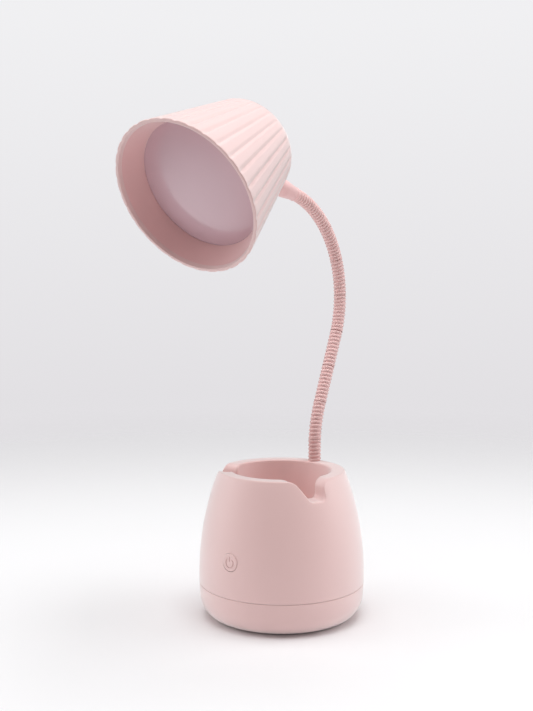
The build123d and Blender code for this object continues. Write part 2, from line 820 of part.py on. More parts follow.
def shoulder_rings(offset_in, angles):
    rings = []
    for a in angles:
        reach = shoulder_round - offset_in
        rings.append((shoulder_depth + reach * sin(a), shoulder_radius + reach * cos(a)))
    return rings


wall_across = shade_wall * cos(cone_angle)
outside_rings = [(0, mouth_radius)]
outside_rings += shoulder_rings(0, steps(cone_angle, radians(90), 3))
inside_rings = [(-1, inner_radius(-1))]
inside_rings += shoulder_rings(wall_across, steps(cone_angle, radians(90), 2))
with BuildPart() as shade_hollow:
    add(tapered(shade_plane, inside_rings, inner_sides))
    with BuildSketch(shade_plane(ledge_depth)):
        RegularPolygon(inner_radius(ledge_depth) + 2, inner_sides)
        RegularPolygon(tray_radius + 0.4, inner_sides, mode=Mode.SUBTRACT)
    extrude(amount=ledge_thickness, mode=Mode.SUBTRACT)
    with BuildSketch(shade_plane(tray_back_depth)):
        with PolarLocations(tray_post_circle, 3, start_angle=30):
            RegularPolygon(tray_post_radius, small_sides)
    extrude(amount=shade_depth - tray_back_depth, mode=Mode.SUBTRACT)
    with BuildSketch(collar_plane(collar_exposed - 6)):
        RegularPolygon(head_boss_radius, collar_sides)
    extrude(amount=head_boss_end - collar_exposed + 6, mode=Mode.SUBTRACT)

with BuildPart() as shade_shell:
    add(tapered(shade_plane, outside_rings, shade_sides))
    with BuildSketch(*[groove_plane(k) for k in range(flute_count)]):
        with BuildLine():
            wide = groove_half * 4 / flute_depth_mouth
            Polyline((0, 0), (wide, -4), (-wide, -4), close=True)
        make_face()
    extrude(amount=groove_run * 1.04, mode=Mode.SUBTRACT)
    add(shade_hollow.part, mode=Mode.SUBTRACT)
    with BuildSketch(collar_plane(collar_exposed)):
        RegularPolygon(collar_end_radius + 0.15, collar_sides)
    extrude(amount=-8, mode=Mode.SUBTRACT)
    with BuildSketch(collar_plane(collar_exposed - 1)):
        RegularPolygon(ferrule_radius + 0.1, small_sides)
    extrude(amount=head_boss_end - collar_exposed + 2, mode=Mode.SUBTRACT)
    with BuildSketch(shade_plane(tray_back_depth - 1)):
        with PolarLocations(tray_post_circle, 3, start_angle=30):
            RegularPolygon(screw_radius + thread_clearance, small_sides)
    extrude(amount=13, mode=Mode.SUBTRACT)
shade_shell.part.label = "shade_shell"
export_step(shade_shell.part, "parts/shade_shell.step")

# Light unit, from the tray forward
tray_outside = [(ledge_depth, tray_radius), (tray_back_depth, tray_back_radius)]
tray_inside = [(flange_depth - 1, tray_radius - tray_wall), (board_back_depth, tray_back_radius - tray_wall)]
with BuildPart() as light_tray:
    add(tapered(shade_plane, tray_outside, inner_sides))
    with BuildSketch(shade_plane(flange_depth)):
        RegularPolygon(flange_radius_tray, inner_sides)
    extrude(amount=tray_flange)
    add(tapered(shade_plane, tray_inside, inner_sides), mode=Mode.SUBTRACT)
    with BuildSketch(shade_plane(board_back_depth - 1)):
        with PolarLocations(tray_post_circle, 3, start_angle=30):
            RegularPolygon(screw_radius + hole_clearance, small_sides)
        with Locations((0, 12)):
            RegularPolygon(3, small_sides)
    extrude(amount=tray_wall + 2, mode=Mode.SUBTRACT)
light_tray.part.label = "light_tray"
export_step(light_tray.part, "parts/light_tray.step")

with BuildPart() as light_board:
    with BuildSketch(shade_plane(board_face_depth)):
        RegularPolygon(light_board_radius, inner_sides)
        with PolarLocations(tray_post_circle, 3, start_angle=30):
            RegularPolygon(screw_radius + hole_clearance, small_sides, mode=Mode.SUBTRACT)
        with Locations((0, 12)):
            RegularPolygon(2.2, small_sides, mode=Mode.SUBTRACT)
    extrude(amount=light_board_thickness)
light_board.part.label = "light_board"
export_step(light_board.part, "parts/light_board.step")

with BuildPart() as led_chips:
    with BuildSketch(shade_plane(board_face_depth - 0.8)):
        with PolarLocations(light_board_radius - 3.2, 12, start_angle=0):
            Rectangle(2.8, 3.5)
        with PolarLocations(8, 4, start_angle=45):
            Rectangle(2.8, 3.5)
    extrude(amount=0.8)
led_chips.part.label = "led_chips"
export_step(led_chips.part, "parts/led_chips.step")

with BuildPart() as tray_screws:
    with BuildSketch(shade_plane(board_face_depth - screw_head_height)):
        with PolarLocations(tray_post_circle, 3, start_angle=30):
            RegularPolygon(screw_head_radius - 0.8, small_sides)
    extrude(amount=screw_head_height)
    with BuildSketch(shade_plane(board_face_depth)):
        with PolarLocations(tray_post_circle, 3, start_angle=30):
            RegularPolygon(screw_radius, small_sides)
    extrude(amount=12)
tray_screws.part.label = "tray_screws"
export_step(tray_screws.part, "parts/tray_screws.step")


# Diffuser: a shallow dome with a flat rim, held by the front ring
def dome_rings(radius, rise, edge_depth, parts):
    ball = (radius**2 + rise**2) / (2 * rise)
    rings = []
    for k in range(parts):
        r = radius * (1 - k / parts)
        rings.append((edge_depth - (rise - ball + sqrt(ball**2 - r**2)), r))
    rings.append((edge_depth - rise + 0.02, radius * 0.08))
    return rings[::-1]


with BuildPart() as diffuser_dome:
    with BuildSketch(shade_plane(dome_edge_depth)):
        RegularPolygon(flange_radius_tray, inner_sides)
    extrude(amount=flange_depth - dome_edge_depth)
    add(tapered(shade_plane, dome_rings(dome_radius, dome_rise, dome_edge_depth, 4), inner_sides))
    hollow_rise = dome_rise + flange_depth - dome_edge_depth - dome_thickness
    add(
        tapered(shade_plane, dome_rings(dome_radius - 1.4, hollow_rise, flange_depth, 3), inner_sides),
        mode=Mode.SUBTRACT,
    )
diffuser_dome.part.label = "diffuser_dome"
export_step(diffuser_dome.part, "parts/diffuser_dome.step")

ring_rings = [(d, inner_radius(d) - 0.12) for d in (ring_depth, dome_edge_depth)]
with BuildPart() as diffuser_ring:
    add(tapered(shade_plane, ring_rings, inner_sides))
    with BuildSketch(shade_plane(ring_depth)):
        RegularPolygon(ring_inner_radius, inner_sides)
    extrude(amount=dome_edge_depth - ring_depth, mode=Mode.SUBTRACT)
diffuser_ring.part.label = "diffuser_ring"
export_step(diffuser_ring.part, "parts/diffuser_ring.step")
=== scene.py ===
# %% [markdown]
# # A desk lamp with a pen pot
# The lamp is one pink plastic pot that holds pens, a ribbed neck that bends, and a fluted
# shade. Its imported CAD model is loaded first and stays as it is. Each visible CAD piece then
# gets a finer piece in its place, drawn with bmesh, and every piece gets its finish.

# %% Load the lamp's frame
import json
from math import asin, atan, atan2, cos, degrees, pi, radians, sin, sqrt, tan
import bmesh
import bpy
from mathutils import Matrix, Vector


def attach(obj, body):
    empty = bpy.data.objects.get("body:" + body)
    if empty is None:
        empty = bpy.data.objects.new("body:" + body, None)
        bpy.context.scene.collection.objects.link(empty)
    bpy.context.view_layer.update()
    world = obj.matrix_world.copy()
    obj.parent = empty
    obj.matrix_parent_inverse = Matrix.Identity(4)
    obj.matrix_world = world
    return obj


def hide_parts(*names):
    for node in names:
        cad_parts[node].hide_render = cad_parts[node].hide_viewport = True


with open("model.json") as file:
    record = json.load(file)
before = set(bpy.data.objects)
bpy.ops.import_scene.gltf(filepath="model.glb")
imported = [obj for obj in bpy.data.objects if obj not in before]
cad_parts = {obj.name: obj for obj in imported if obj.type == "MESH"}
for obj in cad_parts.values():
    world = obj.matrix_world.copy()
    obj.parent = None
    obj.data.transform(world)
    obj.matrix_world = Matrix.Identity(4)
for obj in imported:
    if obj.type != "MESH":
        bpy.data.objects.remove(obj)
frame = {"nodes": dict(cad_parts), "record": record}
bpy.context.view_layer.update()

# %% [markdown]
# The camera stands where the photographer's stood: a little over half a metre away, to the
# right of the lamp's front, looking slightly down. It is made first, so that each later step
# can be judged through it.

# %% Camera
camera_data = bpy.data.cameras.new("camera")
camera_data.lens = 55.7
camera = bpy.data.objects.new("camera", camera_data)
bpy.context.scene.collection.objects.link(camera)
camera.location = (0.3946, -0.5236, 0.2211)
looking = Vector((-0.6101, 0.7865, -0.0959))
camera.rotation_euler = looking.to_track_quat("-Z", "Y").to_euler()
bpy.context.scene.camera = camera
print("camera", round((camera.location - Vector((0, 0, 0.22))).length, 3), "m from the lamp")

# %% [markdown]
# The photograph was taken in a light tent: broad white panels left and right, a brighter one
# above, and a white floor that runs into the background. Large area lamps give the same soft
# light. The background's white comes from the world's colour for camera rays, so that it adds
# no light to the lamp.

# %% Lights and world
lamp_middle = Vector((0, 0, 0.14))


def panel(name, place, size, power):
    data = bpy.data.lights.new(name, "AREA")
    data.shape = "RECTANGLE"
    data.size, data.size_y = size
    data.energy = power
    lamp = bpy.data.objects.new(name, data)
    bpy.context.scene.collection.objects.link(lamp)
    lamp.location = place
    aim = lamp_middle - Vector(place)
    lamp.rotation_euler = aim.to_track_quat("-Z", "Y").to_euler()
    return lamp


view_right = Vector((0.7865, 0.6101, 0))
view_back = Vector((-0.6101, 0.7865, 0))
panel("left panel", -1.0 * view_right + 0.05 * view_back + Vector((0, 0, 0.45)), (0.8, 0.9), 3.95)
panel("right panel", 1.0 * view_right + 0.05 * view_back + Vector((0, 0, 0.55)), (0.8, 0.9), 4.5)
panel("top panel", -0.1 * view_back + Vector((0, 0, 1.25)), (0.9, 0.9), 13.0)

background_low = (0.765, 0.75, 0.773, 1)
background_high = (0.875, 0.872, 0.888, 1)
world = bpy.data.worlds.new("light tent")
bpy.context.scene.world = world
world.use_nodes = True
nodes = world.node_tree.nodes
links = world.node_tree.links
nodes.clear()
soft = nodes.new("ShaderNodeBackground")
soft.inputs["Color"].default_value = (1.0, 0.985, 0.99, 1)
soft.inputs["Strength"].default_value = 0.29
seen = nodes.new("ShaderNodeBackground")
way = nodes.new("ShaderNodeTexCoord")
height = nodes.new("ShaderNodeSeparateXYZ")
rise = nodes.new("ShaderNodeMapRange")
rise.inputs["From Min"].default_value = -0.13
rise.inputs["From Max"].default_value = 0.2
tone = nodes.new("ShaderNodeMix")
tone.data_type = "RGBA"
tone.inputs["A"].default_value = background_low
tone.inputs["B"].default_value = background_high
links.new(way.outputs["Generated"], height.inputs[0])
links.new(height.outputs["Z"], rise.inputs["Value"])
links.new(rise.outputs["Result"], tone.inputs["Factor"])
links.new(tone.outputs["Result"], seen.inputs["Color"])
rays = nodes.new("ShaderNodeLightPath")
chosen = nodes.new("ShaderNodeMixShader")
shown = nodes.new("ShaderNodeOutputWorld")
links.new(rays.outputs["Is Camera Ray"], chosen.inputs["Fac"])
links.new(soft.outputs[0], chosen.inputs[1])
links.new(seen.outputs[0], chosen.inputs[2])
links.new(chosen.outputs[0], shown.inputs["Surface"])
bpy.context.scene.view_settings.view_transform = "Standard"
print("world light", soft.inputs["Strength"].default_value)

# %% [markdown]
# Moulded plastic isn't one flat colour. Close up it has a fine satin texture from the mould,
# and its colour drifts a little over a hand's width. Both finishes are used by several
# materials, so they are one node group: it takes a colour and gives back the drifting colour,
# a roughness and a normal.

# %% Node group for moulded surfaces
def new_socket(group, name, way, kind, value=None):
    item = group.interface.new_socket(name=name, in_out=way, socket_type=kind)
    if value is not None:
        item.default_value = value


moulded = bpy.data.node_groups.new("moulded surface", "ShaderNodeTree")
new_socket(moulded, "Color", "INPUT", "NodeSocketColor")
new_socket(moulded, "Drift", "INPUT", "NodeSocketFloat", 0.03)
new_socket(moulded, "Roughness", "INPUT", "NodeSocketFloat", 0.5)
new_socket(moulded, "Grain", "INPUT", "NodeSocketFloat", 1500)
new_socket(moulded, "Grain Height", "INPUT", "NodeSocketFloat", 0.1)
new_socket(moulded, "Color", "OUTPUT", "NodeSocketColor")
new_socket(moulded, "Roughness", "OUTPUT", "NodeSocketFloat")
new_socket(moulded, "Normal", "OUTPUT", "NodeSocketVector")
tree = moulded.nodes
wire = moulded.links
given = tree.new("NodeGroupInput")
result = tree.new("NodeGroupOutput")
place = tree.new("ShaderNodeTexCoord")
cloud = tree.new("ShaderNodeTexNoise")
cloud.inputs["Scale"].default_value = 18
grain = tree.new("ShaderNodeTexNoise")
grain.inputs["Detail"].default_value = 1
wire.new(place.outputs["Object"], cloud.inputs["Vector"])
wire.new(place.outputs["Object"], grain.inputs["Vector"])
wire.new(given.outputs["Grain"], grain.inputs["Scale"])
level = tree.new("ShaderNodeMath")
level.operation = "MULTIPLY_ADD"
level.inputs[2].default_value = 1
centred = tree.new("ShaderNodeMath")
centred.operation = "SUBTRACT"
centred.inputs[1].default_value = 0.5
wire.new(cloud.outputs["Fac"], centred.inputs[0])
wire.new(centred.outputs[0], level.inputs[0])
wire.new(given.outputs["Drift"], level.inputs[1])
shade_by = tree.new("ShaderNodeVectorMath")
shade_by.operation = "SCALE"
wire.new(given.outputs["Color"], shade_by.inputs[0])
wire.new(level.outputs[0], shade_by.inputs["Scale"])
wire.new(shade_by.outputs[0], result.inputs["Color"])
rougher = tree.new("ShaderNodeMath")
rougher.operation = "MULTIPLY_ADD"
rougher.inputs[1].default_value = 0.12
wire.new(centred.outputs[0], rougher.inputs[0])
wire.new(given.outputs["Roughness"], rougher.inputs[2])
wire.new(rougher.outputs[0], result.inputs["Roughness"])
bump = tree.new("ShaderNodeBump")
bump.inputs["Distance"].default_value = 0.00005
wire.new(given.outputs["Grain Height"], bump.inputs["Strength"])
wire.new(grain.outputs["Fac"], bump.inputs["Height"])
wire.new(bump.outputs[0], result.inputs["Normal"])
print("moulded surface:", len(moulded.nodes), "nodes")

# %% [markdown]
# Each material is a Principled shader fed by that group. The inner pieces, such as the cell,
# the boards and the screws, are seen only when the lamp is opened, but they get their own
# finish too, so that the model holds up there. The pink plastic has a strong sheen, which
# whitens it where it turns away from the eye, as the fine mould texture does on the lamp. The
# liner in the shade's mouth and the collar are the same plastic with less sheen, drawn in a
# darker, deeper pink: painted shade. The milky diffuser is drawn in a darker pink too: painted
# shade and painted pink light from the shade.

# %% Materials
def material(
    name, colour, roughness=0.5, drift=0.03, grain=1500, height=0.1, metal=0.0, coat=0.0, sheen=0.0
):
    made = bpy.data.materials.new(name)
    made.use_nodes = True
    tree = made.node_tree
    shader = tree.nodes["Principled BSDF"]
    surface = tree.nodes.new("ShaderNodeGroup")
    surface.node_tree = moulded
    surface.inputs["Color"].default_value = (*colour, 1)
    surface.inputs["Drift"].default_value = drift
    surface.inputs["Roughness"].default_value = roughness
    surface.inputs["Grain"].default_value = grain
    surface.inputs["Grain Height"].default_value = height
    tree.links.new(surface.outputs["Color"], shader.inputs["Base Color"])
    tree.links.new(surface.outputs["Roughness"], shader.inputs["Roughness"])
    tree.links.new(surface.outputs["Normal"], shader.inputs["Normal"])
    shader.inputs["Metallic"].default_value = metal
    shader.inputs["Coat Weight"].default_value = coat
    shader.inputs["Sheen Weight"].default_value = sheen
    shader.inputs["Sheen Roughness"].default_value = 0.6
    made.diffuse_color = (*colour, 1)
    return made


pink = (0.82, 0.54, 0.52)
pink_plastic = material("pink plastic", pink, roughness=0.45, drift=0.04, height=0.15, sheen=1.0)
pink_neck = material("pink coated steel", pink, roughness=0.42, drift=0.06, sheen=0.3)
# Painted shade and painted pink light from the shade: the milky white diffuser is drawn in a darker
# pink.
frosted = material(
    "frosted diffuser, painted shade", (0.65, 0.44, 0.49), roughness=0.3, drift=0.02, height=0.0, coat=1.0
)
# Painted shade: a darker, deeper copy of the pink plastic, used for the liner inside the shade and for
# the collar.
pink_satin_painted_shade = material(
    "pink plastic satin, painted shade", (0.81, 0.46, 0.45), roughness=0.55, drift=0.04, height=0.15, sheen=0.6
)
rubber = material("grey rubber", (0.09, 0.085, 0.085), roughness=0.8, drift=0.3, grain=700, height=0.5)
steel = material("plated steel", (0.56, 0.56, 0.58), roughness=0.28, grain=2500, metal=1.0)
iron = material(
    "ballast iron", (0.10, 0.10, 0.11), roughness=0.62, drift=0.4, grain=900, height=0.5, metal=1.0
)
brass = material("threaded brass", (0.58, 0.40, 0.14), roughness=0.3, metal=1.0)
cell_blue = material("cell wrap", (0.03, 0.16, 0.45), roughness=0.2, drift=0.1, coat=0.5)
black = material("black plastic", (0.012, 0.012, 0.014), roughness=0.55, drift=0.3)
white = material("white plastic", (0.80, 0.80, 0.77), roughness=0.4)
board_green = material("circuit board", (0.01, 0.09, 0.035), roughness=0.3, drift=0.5, coat=0.4)
board_white = material("light board", (0.83, 0.83, 0.80), roughness=0.35)
led_yellow = material("LED chip", (0.85, 0.66, 0.14), roughness=0.2, coat=0.5)
finishes = {
    "pink_plastic": pink_plastic, "pink_neck": pink_neck, "diffuser": frosted, "grey_rubber": rubber,
    "steel": steel, "ballast_iron": iron, "brass": brass, "cell_wrap": cell_blue, "black_plastic": black,
    "white_plastic": white, "circuit_board": board_green, "light_board_white": board_white,
    "led_yellow": led_yellow,
}
for part in frame["record"]["subparts"]:
    cad_mesh = frame["nodes"][part["node"]].data
    cad_mesh.materials.clear()
    cad_mesh.materials.append(finishes[part["material_slot"]])
print(len(finishes), "finishes on", len(frame["nodes"]), "CAD pieces")

# %% [markdown]
# Most of the lamp is round, so most pieces start as half an outline that is spun about an
# axis. The outlines are drawn in millimetres, as on a maker's drawing, with a radius written
# at each corner, and `rounded` turns those corners into arcs.

# %% Outlines with rounded corners
def rounded(corners, parts=6):
    points = []
    for number, (across, along, radius) in enumerate(corners):
        corner = Vector((across, along))
        if radius == 0:
            points.append(corner)
            continue
        before = (Vector(corners[number - 1][:2]) - corner).normalized()
        after = (Vector(corners[(number + 1) % len(corners)][:2]) - corner).normalized()
        half = before.angle(after) / 2
        centre = corner + (before + after).normalized() * radius / sin(half)
        first = corner + before * radius / tan(half) - centre
        last = corner + after * radius / tan(half) - centre
        sweep = pi - 2 * half
        for k in range(parts + 1):
            t = sweep * k / parts
            points.append(centre + (first * sin(sweep - t) + last * sin(t)) / sin(sweep))
    return points


def spun(outline, steps):
    mesh = bmesh.new()
    verts = [mesh.verts.new((r, 0, z)) for r, z in outline]
    edges = [mesh.edges.new(pair) for pair in zip(verts, verts[1:])]
    bmesh.ops.spin(
        mesh, geom=verts + edges, cent=(0, 0, 0), axis=(0, 0, 1), angle=2 * pi, steps=steps,
        use_merge=True,
    )
    bmesh.ops.remove_doubles(mesh, verts=mesh.verts, dist=1e-4)
    bmesh.ops.recalc_face_normals(mesh, faces=mesh.faces)
    return mesh


# %% [markdown]
# A finished bmesh becomes an object through one helper. It turns the drawing into its place
# on the lamp, scales it to metres, names it, gives it its finish, and says which CAD pieces it
# stands for and which body it moves with. Every piece so has its object at the origin.

# %% From drawing to object
def piece(mesh, name, finish, body, stands_for=(), place=Matrix.Identity(4), sharp=40):
    bmesh.ops.transform(mesh, matrix=Matrix.Scale(0.001, 4) @ place, verts=mesh.verts)
    data = bpy.data.meshes.new(name)
    mesh.to_mesh(data)
    mesh.free()
    data.materials.append(finish)
    data.shade_smooth()
    made = bpy.data.objects.new(name, data)
    bpy.context.scene.collection.objects.link(made)
    data.set_sharp_from_angle(angle=radians(sharp))
    if stands_for:
        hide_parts(*stands_for)
    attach(made, body)
    print(name, len(data.vertices), "points")
    return made


# %% [markdown]
# The pot's outer wall swells to its widest place low down and draws in toward the rim, along
# one large arc. The pen well inside is nearly straight. The two meet in a flat rim whose edges
# are rounded. The wall is closed underneath the well, where the cell and the board sit.

# %% Pot sizes
pot_height = 89.0
pot_radius = 50.0
belly_height = 26.0
side_curve = 172.0
shell_bottom = 20.8
rim_width = 8.05
well_taper = 3.0
well_floor = 34.0
wall = 2.0
cavity_top = 66.0
edge_round = 1.2


def outer_radius(z):
    return pot_radius - side_curve + sqrt(side_curve**2 - (z - belly_height) ** 2)


well_mouth = outer_radius(pot_height) - rim_width


def well_radius(z):
    return well_mouth - well_taper * (pot_height - z) / (pot_height - well_floor)


print("rim from", round(well_mouth, 2), "to", round(outer_radius(pot_height), 2))

# %% Pot outline
straight_rim = 84
hollow_middle = 42
under_floor = well_floor - wall
rim_outer = outer_radius(pot_height)
pot_outline = rounded([
    (0, well_floor, 0),
    (well_radius(well_floor), well_floor, 2.0),
    (well_mouth, pot_height, edge_round),
    (rim_outer, pot_height, edge_round),
    (outer_radius(straight_rim), straight_rim, 0),
])
side_steps = 26
lower_edge = 0.3
side_low = shell_bottom + lower_edge
pot_outline += [
    Vector((outer_radius(z), z))
    for z in [
        straight_rim + (side_low - straight_rim) * k / side_steps for k in range(1, side_steps + 1)
    ]
]
pot_outline += [
    Vector(point)
    for point in [
        (outer_radius(shell_bottom) - lower_edge, shell_bottom),
        (outer_radius(shell_bottom) - wall, shell_bottom),
        (outer_radius(hollow_middle) - wall, hollow_middle),
        (outer_radius(cavity_top) - wall, cavity_top),
        (well_radius(cavity_top) + wall, cavity_top),
        (well_radius(under_floor) + wall, under_floor),
        (0, under_floor),
    ]
]
print(len(pot_outline), "points in the pot's outline")

# %% [markdown]
# A notch dips into the rim on each side, to lay a pen across. It has a long slope toward the
# front, a short floor, and a steep rear side that rounds over into the rim. Cutting it with a
# Boolean would leave a sharp edge. Instead the rim itself is led down: each radial slice of the rim
# moves to its place on the notch's outline and turns with it, so that the rim's rounded edges
# run through the notch as they do on the moulded pot.

# %% Notch outline and the move
notch_angle = radians(68)
notch_start, notch_end = -24.0, 13.0
notch_line = rounded([
    (notch_start, pot_height, 0),
    (-13.2, pot_height, 7.0),
    (-5.1, 77.0, 4.0),
    (4.7, 77.0, 2.5),
    (4.7, pot_height, 5.2),
    (notch_end, pot_height, 0),
], parts=14)
notch_reach = [0.0]
for a, b in zip(notch_line, notch_line[1:]):
    notch_reach.append(notch_reach[-1] + (b - a).length)
rigid_depth = 3.0


def on_notch(share):
    wanted = share * notch_reach[-1]
    k = 1
    while notch_reach[k] < wanted and k < len(notch_reach) - 1:
        k += 1
    a, b = notch_line[k - 1], notch_line[k]
    t = (wanted - notch_reach[k - 1]) / (notch_reach[k] - notch_reach[k - 1])
    run = (b - a).normalized()
    return a.lerp(b, t), Vector((-run.y, run.x))


def lead_down(place, side):
    outward = Vector((side * sin(notch_angle), -cos(notch_angle)))
    across = Vector((side * cos(notch_angle), sin(notch_angle)))
    x = Vector(place[:2]).dot(across)
    out = Vector(place[:2]).dot(outward)
    if out < 5 or not notch_start < x < notch_end or place.z <= cavity_top:
        return place
    share = (x - notch_start) / (notch_end - notch_start)
    edge, up = on_notch(share)
    below = pot_height - place.z
    led = edge - up * min(below, rigid_depth)
    if below > rigid_depth:
        foot = Vector((x, cavity_top))
        led = foot.lerp(led, (place.z - cavity_top) / (pot_height - rigid_depth - cavity_top))
    radius = Vector(place[:2]).length
    inner, outer = well_radius(place.z), outer_radius(place.z)
    share_out = (radius - inner) / (outer - inner)
    new_radius = well_radius(led.y) + share_out * (outer_radius(led.y) - well_radius(led.y))
    flat = outward * sqrt(new_radius**2 - led.x**2) + across * led.x
    return Vector((flat.x, flat.y, led.y))


print("notch line is", round(notch_reach[-1], 1), "mm long")

# %% [markdown]
# The openings for the push button and for the charging plug have plain crisp edges, so here a
# Boolean cut is right: a cutter is drawn for each, taken out of the pot and then removed.

# %% Cutting an opening
def upright(point, out, across=Vector((1, 0, 0))):
    third = out.cross(across)
    return Matrix((
        (across.x, third.x, out.x, point[0]),
        (across.y, third.y, out.y, point[1]),
        (across.z, third.z, out.z, point[2]),
        (0, 0, 0, 1),
    ))


def cut(made, cutter_mesh, place):
    bmesh.ops.transform(cutter_mesh, matrix=Matrix.Scale(0.001, 4) @ place, verts=cutter_mesh.verts)
    bmesh.ops.recalc_face_normals(cutter_mesh, faces=cutter_mesh.faces)
    data = bpy.data.meshes.new("cutter")
    cutter_mesh.to_mesh(data)
    cutter_mesh.free()
    cutter = bpy.data.objects.new("cutter", data)
    bpy.context.scene.collection.objects.link(cutter)
    boolean = made.modifiers.new("cut", "BOOLEAN")
    boolean.object = cutter
    boolean.solver = "EXACT"
    with bpy.context.temp_override(object=made, active_object=made, selected_objects=[made]):
        bpy.ops.object.modifier_apply(modifier=boolean.name)
    bpy.data.objects.remove(cutter)
    made.data.set_sharp_from_angle(angle=radians(40))


def slot_block(width, height, length):
    block = bmesh.new()
    bmesh.ops.create_cube(block, size=1, matrix=Matrix.Diagonal((width, height, length, 1)))
    ends = [e for e in block.edges if abs(e.verts[0].co.z - e.verts[1].co.z) > length / 2]
    bmesh.ops.bevel(
        block, geom=ends, offset=height * 0.499, segments=8, affect="EDGES", profile=0.5, material=-1
    )
    return block


# %% Pot
pot_mesh = spun(pot_outline, 320)
for vert in pot_mesh.verts:
    for side in (1, -1):
        vert.co = lead_down(vert.co, side)
pot = piece(pot_mesh, "pot_body", pink_plastic, "base", ["pot_shell"])

button_height = 42.3
button_radius = 5.2
button_gap = 0.18
button_proud = 0.3
button_face = -(outer_radius(button_height) + button_proud)
front = Vector((0, -1, 0))
bore_radius = button_radius + button_gap
bore_length = 12
bore = bmesh.new()
bmesh.ops.create_cone(
    bore, cap_ends=True, segments=64, radius1=bore_radius, radius2=bore_radius, depth=bore_length
)
cut(pot, bore, upright((0, button_face, button_height), front))

usb_height = 26.83
usb_face = outer_radius(usb_height)
rear = Vector((0, 1, 0))
plug_width, plug_height, plug_recess = 12.6, 6.4, 0.9
usb_width, usb_opening = 9.4, 3.7
recess_length = 4
through_length = 12
recess = slot_block(plug_width, plug_height, recess_length)
cut(pot, recess, upright((0, usb_face + recess_length / 2 - plug_recess, usb_height), rear))
through = slot_block(usb_width, usb_opening, through_length)
cut(pot, through, upright((0, usb_face - through_length / 4, usb_height), rear))
print("pot has", len(pot.data.polygons), "faces")

# %% [markdown]
# The foot closes the pot from below. It turns under in a large quarter round, and a fine
# groove shows where it meets the pot: the foot stops a little short of the pot's edge, and its
# lip goes up inside. A rubber pad under the floor keeps the lamp from sliding. The quarter
# round is a little higher than it is wide.

# %% Foot and pad
pad_thickness = 0.8
corner_round = 14.2
corner_width = 10.4
corner_height = 15.0
corner_across = outer_radius(corner_height) - corner_width
parting_gap = 0.14
foot_top = shell_bottom - parting_gap
lip_height = 2.6
lip_wall = 1.25
foot_floor = 3.0
lip_clearance = 0.25
lip_radius = outer_radius(shell_bottom) - wall - lip_clearance
foot_side = outer_radius(foot_top)
foot_outline = rounded([
    (0, pad_thickness, 0),
    (corner_across, pad_thickness, 0),
], parts=1)
foot_outline += [
    Vector((corner_across + corner_width * sin(a), pad_thickness + corner_round * (1 - cos(a))))
    for a in [radians(6 * k) for k in range(1, 16)]
]
foot_outline += rounded([
    (outer_radius(18), 18, 0),
    (foot_side, foot_top, 0.3),
    (lip_radius, foot_top, 0),
    (lip_radius, foot_top + lip_height, 0.3),
    (lip_radius - lip_wall, foot_top + lip_height, 0.3),
    (lip_radius - lip_wall, foot_top - 5, 0),
    (lip_radius - lip_wall, foot_floor, 9.0),
    (0, foot_floor, 0),
])
foot = piece(
    spun(foot_outline, 256), "foot", pink_plastic, "base", ["base_cover"]
)

pad_radius = corner_across - 1.0
pad_outline = rounded([
    (0, 0, 0),
    (pad_radius - 3.2, 0, 0),
    (pad_radius - 3.0, 0.25, 0),
    (pad_radius - 2.2, 0.25, 0),
    (pad_radius - 2.0, 0, 0),
    (pad_radius, 0, 0.25),
    (pad_radius, pad_thickness, 0),
    (0, pad_thickness, 0),
])
piece(spun(pad_outline, 128), "pad", rubber, "base", ["non_slip_pad"])

# %% [markdown]
# The power button is a round cap with a dished face and the usual sign of a ring with a bar,
# pressed into it. The ring is open at the top. It is spun as a cutter, the bar is a plain
# block, and both are cut half a millimetre deep into the cap's face.

# %% Button
dish_depth = 0.12
dish_radius = 3.4
flange_radius = 7.0
flange_front = 5.9
flange_back = 7.15
button_outline = rounded([
    (0, -dish_depth, 0),
    (dish_radius, 0.02 - dish_depth, 0),
    (button_radius, 0.0, 0.5),
    (button_radius, -flange_front, 0),
    (flange_radius, -flange_front - 0.05, 0.2),
    (flange_radius, -flange_back, 0.2),
    (0, -flange_back, 0),
], parts=4)
button = piece(
    spun(button_outline, 96), "button_cap", pink_plastic, "button", ["power_button"],
    place=upright((0, button_face, button_height), front), sharp=50,
)

sign_inner, sign_outer = 2.35, 3.0
sign_opening = 68
sign_drop = 0.2
sign_cut = 0.5
ring = bmesh.new()
ring_profile = [
    (sign_inner, -sign_cut), (sign_outer, -sign_cut), (sign_outer, 1.0), (sign_inner, 1.0)
]
verts = [ring.verts.new((r, 0, z)) for r, z in ring_profile]
edges = [ring.edges.new((verts[k], verts[(k + 1) % 4])) for k in range(4)]
turned = Matrix.Rotation(radians(90 + sign_opening / 2), 4, "Z")
bmesh.ops.transform(ring, matrix=turned, verts=ring.verts)
made = bmesh.ops.spin(
    ring, geom=verts + edges, cent=(0, 0, 0), axis=(0, 0, 1), angle=radians(360 - sign_opening),
    steps=48,
)
bmesh.ops.contextual_create(ring, geom=verts)
last_verts = [v for v in made["geom_last"] if isinstance(v, bmesh.types.BMVert)]
bmesh.ops.contextual_create(ring, geom=last_verts)
cut(button, ring, upright((0, button_face + 0.05, button_height - sign_drop), front))

bar_width, bar_height, bar_block = 0.65, 2.9, 1.5
bar_rise = 2.1
bar = bmesh.new()
bmesh.ops.create_cube(bar, size=1, matrix=Matrix.Diagonal((bar_width, bar_height, bar_block, 1)))
cut(button, bar, upright((0, button_face - bar_block / 2 + sign_cut, button_height + bar_rise), front))
print("button has", len(button.data.polygons), "faces")

# %% [markdown]
# The neck's line runs straight up out of the rim, leans back a little, straightens, and then
# turns forward in one long arc to the shade. The same runs and turns give the place and lean of
# every rib.

# %% Line of the neck
neck_inset = 3.65
neck_y = rim_outer - neck_inset
neck_runs = ((9.0, 0.0), (27.3, 22.5), (44.5, 0.0), (111.9, -98.1))
rib_pitch = 2.35
crest_radius = 4.0
groove_radius = 3.45
ribs = 82
neck_length = rib_pitch * ribs


